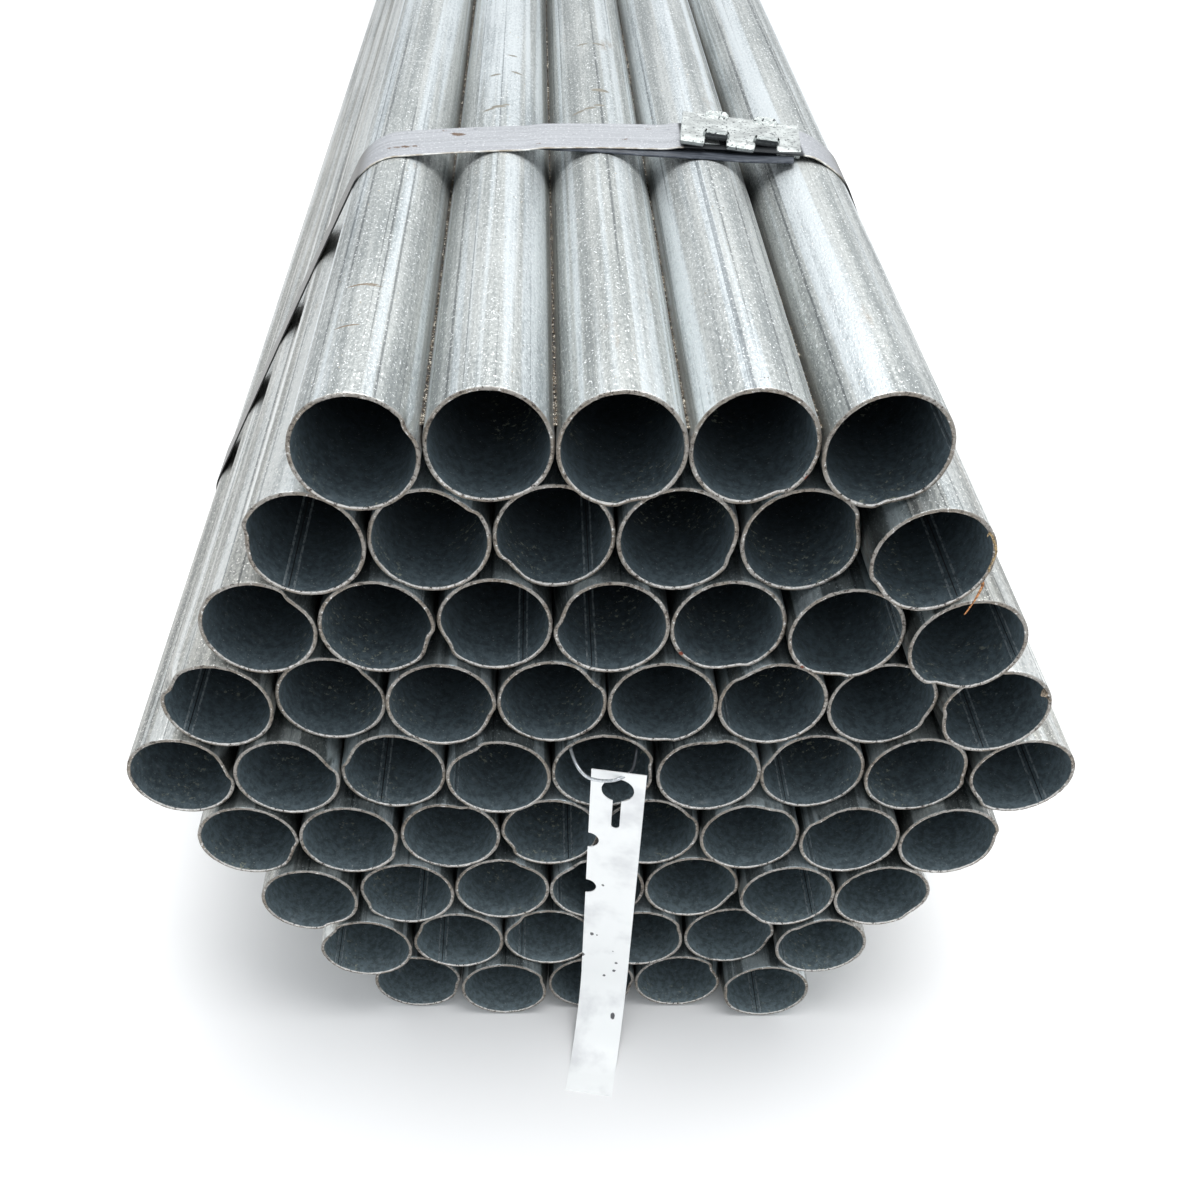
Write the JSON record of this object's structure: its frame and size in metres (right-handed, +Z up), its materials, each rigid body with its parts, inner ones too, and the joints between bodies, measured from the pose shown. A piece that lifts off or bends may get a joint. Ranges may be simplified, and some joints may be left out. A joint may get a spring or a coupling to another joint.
{
  "type": "bundle of steel pipes",
  "caption": "Hexagonal bundle of thin-walled galvanised steel pipes held by flat steel straps with crimped seals, with a blank tag on a wire at one end.",
  "frame": {"origin": "on the floor under the bundle, at the middle of the middle strap's underside", "axes": "+Y along the pipes, away from the tagged end; +Z up; +X to the right seen from the tagged end"},
  "size_m": [0.4384, 3.1151, 0.3939],
  "materials": {
    "galvanised_tube": "galvanised, streaked along its length",
    "strap_steel": "blued steel strapping with a few rust specks",
    "seal_steel": "zinc-coated, crimped",
    "spring_wire": "drawn wire",
    "tag_plastic": "thin white sheet"
  },
  "bodies": {
    "root": {"pipes_row_1": "galvanised_tube", "pipes_row_2": "galvanised_tube", "pipes_row_3": "galvanised_tube", "pipes_row_4": "galvanised_tube", "pipes_row_5": "galvanised_tube", "pipes_row_6": "galvanised_tube", "pipes_row_7": "galvanised_tube", "pipes_row_8": "galvanised_tube", "pipes_row_9": "galvanised_tube", "strap_1": "strap_steel", "strap_2": "strap_steel", "strap_3": "strap_steel", "strap_seal_1": "seal_steel", "strap_seal_2": "seal_steel", "strap_seal_3": "seal_steel", "tag_wire": "spring_wire", "tag": "tag_plastic"}
  },
  "joints": []
}
